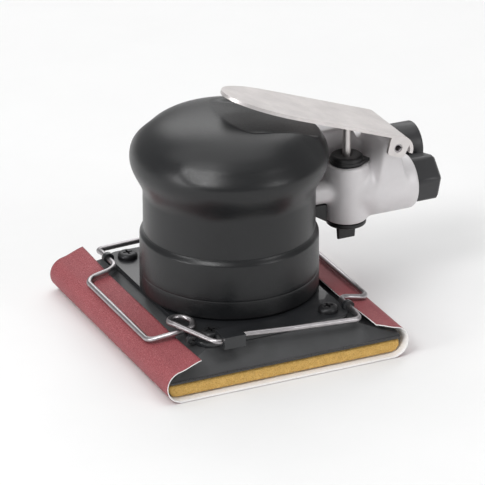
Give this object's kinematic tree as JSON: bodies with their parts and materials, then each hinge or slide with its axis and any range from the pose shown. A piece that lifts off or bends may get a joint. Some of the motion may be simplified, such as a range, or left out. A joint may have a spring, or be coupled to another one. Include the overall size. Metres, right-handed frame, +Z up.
{
  "type": "pneumatic orbital sander",
  "caption": "Palm-grip air-driven orbital sander with a square clip-on pad, spring wire paper clamps, a palm lever over the rubber dome and a side air arm.",
  "frame": {"origin": "on the motor axis, at the height of the sanding face", "axes": "+X along the air arm towards the inlet, +Z up the motor axis away from the sanding face, +Y completes the right-handed frame"},
  "size_m": [0.1426, 0.114, 0.0981],
  "materials": {
    "abrasive_paper": "coarse matte grit",
    "foam_rubber": "open-cell, matte",
    "base_metal": "satin",
    "black_steel": "semi-gloss",
    "spring_wire": "bright drawn",
    "screw_steel": "black oxide",
    "stainless": "fine brushed",
    "cast_alloy": "bead-blasted satin",
    "grip_rubber": "satin",
    "skirt_rubber": "satin",
    "black_plastic": "satin",
    "dark_fitting": "satin",
    "bearing_steel": "polished",
    "machined_steel": "turned",
    "seal_rubber": "smooth",
    "vane_composite": "matte",
    "sintered_brass": "porous"
  },
  "bodies": {
    "housing": {"motor_housing": "cast_alloy", "grip_cover": "grip_rubber", "skirt": "skirt_rubber", "cylinder_liner": "machined_steel", "upper_end_plate": "machined_steel", "lower_end_plate": "machined_steel", "lower_bearing_outer": "bearing_steel", "upper_bearing_outer": "bearing_steel", "motor_lock_ring": "machined_steel", "liner_dowel": "machined_steel", "rubber_legs": "grip_rubber", "lever_pin": "spring_wire", "valve_guide": "black_plastic", "valve_seat": "seal_rubber", "valve_spring": "spring_wire", "inlet_bushing": "dark_fitting", "inlet_screen": "stainless", "exhaust_silencer": "dark_fitting", "exhaust_element": "sintered_brass"},
    "crank": {"crank_shaft": "machined_steel", "counterweight": "machined_steel", "rotor": "machined_steel", "rotor_vanes": "vane_composite", "shaft_key": "machined_steel", "lower_bearing_inner": "bearing_steel", "upper_bearing_inner": "bearing_steel", "spindle_bearing_outer": "bearing_steel", "spindle_retaining_ring": "machined_steel"},
    "pad": {"pad_spindle": "machined_steel", "spindle_bolt": "screw_steel", "spindle_bearing_inner": "bearing_steel", "base_plate": "base_metal", "foam_pad": "foam_rubber", "abrasive_sheet": "abrasive_paper", "clamp_plate": "black_steel", "plate_screws": "screw_steel"},
    "left_clamp": {"left_wire_clamp": "spring_wire"},
    "right_clamp": {"right_wire_clamp": "spring_wire"},
    "throttle_lever": {"lever": "stainless"},
    "valve": {"valve_stem": "stainless"},
    "regulator": {"regulator_knob": "black_plastic", "regulator_oring": "seal_rubber"}
  },
  "joints": [
    {"name": "motor_spin", "type": "hinge", "parent": "housing", "child": "crank", "pos_m": [0, 0, 0.05], "axis": [0, 0, 1], "continuous": true},
    {"name": "pad_orbit", "type": "hinge", "parent": "crank", "child": "pad", "pos_m": [-0.0012, 0, 0.026], "axis": [0, 0, 1], "continuous": true},
    {"name": "left_clamp_swing", "type": "hinge", "parent": "pad", "child": "left_clamp", "pos_m": [-0.0345, 0, 0.0176], "axis": [0, 1, 0], "range_deg": [0, 3], "stiffness_Nm_per_rad": 0.5, "springref_deg": -5.73},
    {"name": "right_clamp_swing", "type": "hinge", "parent": "pad", "child": "right_clamp", "pos_m": [0.0321, 0, 0.0176], "axis": [0, -1, 0], "range_deg": [0, 3], "stiffness_Nm_per_rad": 0.5, "springref_deg": -5.73},
    {"name": "lever_press", "type": "hinge", "parent": "housing", "child": "throttle_lever", "pos_m": [0.0657, 0, 0.0683], "axis": [0, -1, 0], "range_deg": [0, 6], "stiffness_Nm_per_rad": 0.4, "springref_deg": -5.73},
    {"name": "valve_slide", "type": "slide", "parent": "housing", "child": "valve", "axis": [0, 0, -1], "range_m": [0, 0.0019], "deforming": ["valve_spring"]},
    {"name": "regulator_turn", "type": "hinge", "parent": "housing", "child": "regulator", "pos_m": [0.051, 0, 0.035], "axis": [0, 0, 1], "range_deg": [-90, 90]}
  ],
  "couplings": [
    {"joint": "pad_orbit", "follows": "motor_spin", "ratio": -1},
    {"joint": "valve_slide", "follows": "lever_press", "m_per_rad": 0.0173}
  ]
}
